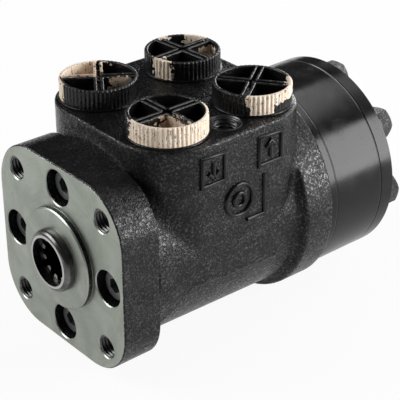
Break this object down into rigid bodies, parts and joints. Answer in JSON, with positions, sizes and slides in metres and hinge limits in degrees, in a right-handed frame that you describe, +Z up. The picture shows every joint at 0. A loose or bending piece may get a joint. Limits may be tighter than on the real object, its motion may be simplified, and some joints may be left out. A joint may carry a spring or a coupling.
{
  "type": "orbital steering unit",
  "caption": "Hydrostatic steering unit with a square mounting flange, splined hub, port block with plugged ports and a gear set behind, with its rotary valve inside.",
  "frame": {"origin": "centre of the shaft on the front mounting face", "axes": "+X along the shaft to the rear cover, +Z up out of the ports, -Y the side with the cast frames"},
  "size_m": [0.1647, 0.0944, 0.1092],
  "materials": {
    "painted_casting": "gloss black paint over sand-cast iron",
    "cover_casting": "machined iron face, black painted sides",
    "painted_steel": "smooth satin black paint",
    "black_screws": "black oxide",
    "rubber_seals": "matt nitrile rubber",
    "ground_steel": "ground hardened steel",
    "bearing_steel": "polished bearing steel",
    "spring_steel": "tempered spring steel",
    "backup_plastic": "plain fluoropolymer",
    "cream_plastic": "cream moulded plastic, partly oversprayed black"
  },
  "bodies": {
    "housing": {"front_cover": "cover_casting", "cover_screws": "black_screws", "cover_seal": "rubber_seals", "shaft_seal": "rubber_seals", "backup_ring": "backup_plastic", "bearing_race_front": "bearing_steel", "valve_body": "painted_casting", "check_valve_bush": "ground_steel", "body_seal": "rubber_seals", "distributor_plate": "painted_steel", "ring_front_seal": "rubber_seals", "gerotor_ring": "painted_steel", "ring_rear_seal": "rubber_seals", "dowel_pin": "ground_steel", "end_cover": "painted_steel", "bolt_washers": "painted_steel", "end_bolts": "painted_steel"},
    "sleeve_set": {"sleeve": "ground_steel", "spring_ring": "spring_steel", "leaf_springs": "spring_steel", "cross_pin": "ground_steel", "bearing_race_rear": "bearing_steel"},
    "spool": {"spool": "ground_steel"},
    "orbit_spacer": {"rotor_spacer": "ground_steel"},
    "rotor": {"rotor": "ground_steel"},
    "cardan": {"cardan_shaft": "ground_steel"},
    "needle_set": {"needle_cage": "bearing_steel", "bearing_needles": "bearing_steel"},
    "check_ball": {"check_ball": "bearing_steel"},
    "plug_tank": {"port_plug_tank": "cream_plastic"},
    "plug_left": {"port_plug_left": "cream_plastic"},
    "plug_pump": {"port_plug_pump": "cream_plastic"},
    "plug_right": {"port_plug_right": "cream_plastic"}
  },
  "joints": [
    {"name": "sleeve_turn", "type": "hinge", "parent": "housing", "child": "sleeve_set", "pos_m": [0.06, 0, 0], "axis": [1, 0, 0], "continuous": true},
    {"name": "spool_shift", "type": "hinge", "parent": "sleeve_set", "child": "spool", "pos_m": [0.03, 0, 0], "axis": [1, 0, 0], "range_deg": [-9, 9], "stiffness_Nm_per_rad": 2},
    {"name": "rotor_orbit", "type": "hinge", "parent": "housing", "child": "orbit_spacer", "pos_m": [0.1276, 0, 0], "axis": [1, 0, 0], "continuous": true},
    {"name": "rotor_spin", "type": "hinge", "parent": "orbit_spacer", "child": "rotor", "pos_m": [0.1276, 0, -0.003], "axis": [1, 0, 0], "continuous": true},
    {"name": "cardan_spin", "type": "hinge", "parent": "orbit_spacer", "child": "cardan", "pos_m": [0.0375, 0, 0], "axis": [0.9994, 0, -0.0333], "continuous": true},
    {"name": "needle_roll", "type": "hinge", "parent": "housing", "child": "needle_set", "pos_m": [0.012, 0, 0], "axis": [1, 0, 0], "continuous": true},
    {"name": "check_ball_lift", "type": "slide", "parent": "housing", "child": "check_ball", "axis": [0, 0, 1], "range_m": [0, 0.002]},
    {"name": "plug_tank_lift", "type": "slide", "parent": "housing", "child": "plug_tank", "axis": [0, 0, 1], "range_m": [0, 0.016]},
    {"name": "plug_left_lift", "type": "slide", "parent": "housing", "child": "plug_left", "axis": [0, 0, 1], "range_m": [0, 0.016]},
    {"name": "plug_pump_lift", "type": "slide", "parent": "housing", "child": "plug_pump", "axis": [0, 0, 1], "range_m": [0, 0.016]},
    {"name": "plug_right_lift", "type": "slide", "parent": "housing", "child": "plug_right", "axis": [0, 0, 1], "range_m": [0, 0.016]}
  ],
  "couplings": [
    {"joint": "rotor_orbit", "follows": "sleeve_turn", "ratio": -6},
    {"joint": "rotor_spin", "follows": "sleeve_turn", "ratio": 7},
    {"joint": "cardan_spin", "follows": "sleeve_turn", "ratio": 7},
    {"joint": "needle_roll", "follows": "sleeve_turn", "ratio": 0.5}
  ]
}
